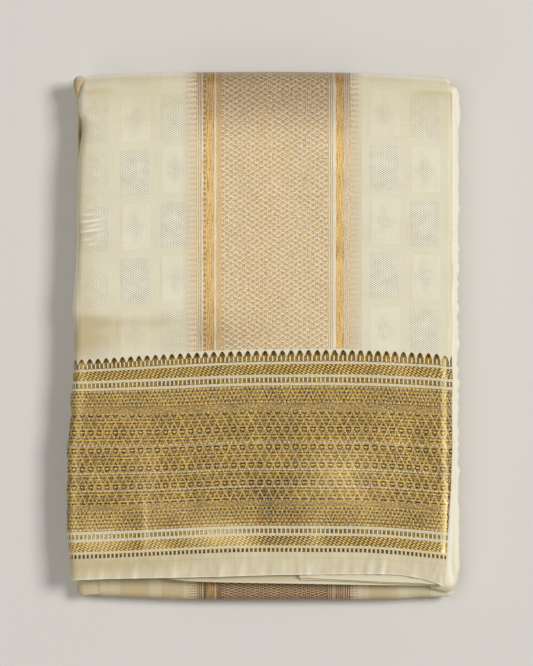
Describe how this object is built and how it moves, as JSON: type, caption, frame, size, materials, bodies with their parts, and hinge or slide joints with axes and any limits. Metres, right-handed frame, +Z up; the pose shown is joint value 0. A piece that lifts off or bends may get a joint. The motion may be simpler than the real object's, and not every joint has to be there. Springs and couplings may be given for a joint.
{
  "type": "folded dhoti cloth",
  "caption": "Unsewn silk waist cloth folded into a flat rounded pack: checked cream field, gold woven border across one end and a pale gold band down the middle.",
  "frame": {"origin": "middle of the pack's box, on the surface it rests on", "axes": "+Y towards the thick last fold and away from the free selvedge edge, +Z up, out of the face that shows the border"},
  "size_m": [0.2314, 0.3102, 0.0239],
  "materials": {
    "zari_silk": "silk with woven gold thread, soft sheen",
    "silk": "smooth silk, soft sheen"
  },
  "bodies": {
    "root": {"outer_sheet": "zari_silk", "inner_fold": "silk", "bottom_fold": "zari_silk", "corner_fold": "silk", "selvedge_layer_1": "silk", "selvedge_layer_2": "silk", "selvedge_layer_3": "silk", "hidden_layers": "silk"}
  },
  "joints": []
}
